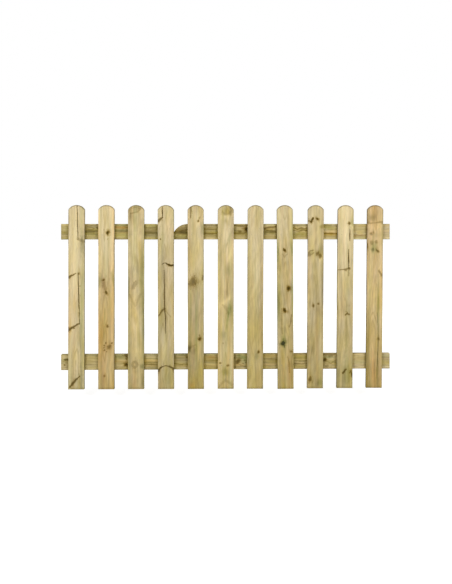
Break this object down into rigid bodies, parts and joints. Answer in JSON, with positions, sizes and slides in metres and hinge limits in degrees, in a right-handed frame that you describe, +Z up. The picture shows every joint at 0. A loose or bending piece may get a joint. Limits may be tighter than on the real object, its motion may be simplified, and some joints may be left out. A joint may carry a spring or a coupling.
{
  "type": "picket fence panel",
  "caption": "Timber fence panel of round-topped pickets nailed across the front of horizontal rails, with rail ends left proud for fixing to posts.",
  "frame": {"origin": "on the rails' rear face, the face that is fixed to posts, at mid-length and on the lower rail's centre line", "axes": "+X along the rails to the right as seen from the picketed front, +Y out of the rear face towards the posts, +Z up along the pickets"},
  "size_m": [1.8, 0.048, 1.0032],
  "materials": {
    "picket_timber": "planed softwood, pressure treated pale green-brown, matte",
    "rail_timber": "planed softwood, pressure treated olive-brown, matte"
  },
  "bodies": {
    "root": {"bottom_rail": "rail_timber", "top_rail": "rail_timber", "picket_01": "picket_timber", "picket_02": "picket_timber", "picket_03": "picket_timber", "picket_04": "picket_timber", "picket_05": "picket_timber", "picket_06": "picket_timber", "picket_07": "picket_timber", "picket_08": "picket_timber", "picket_09": "picket_timber", "picket_10": "picket_timber", "picket_11": "picket_timber"}
  },
  "joints": []
}
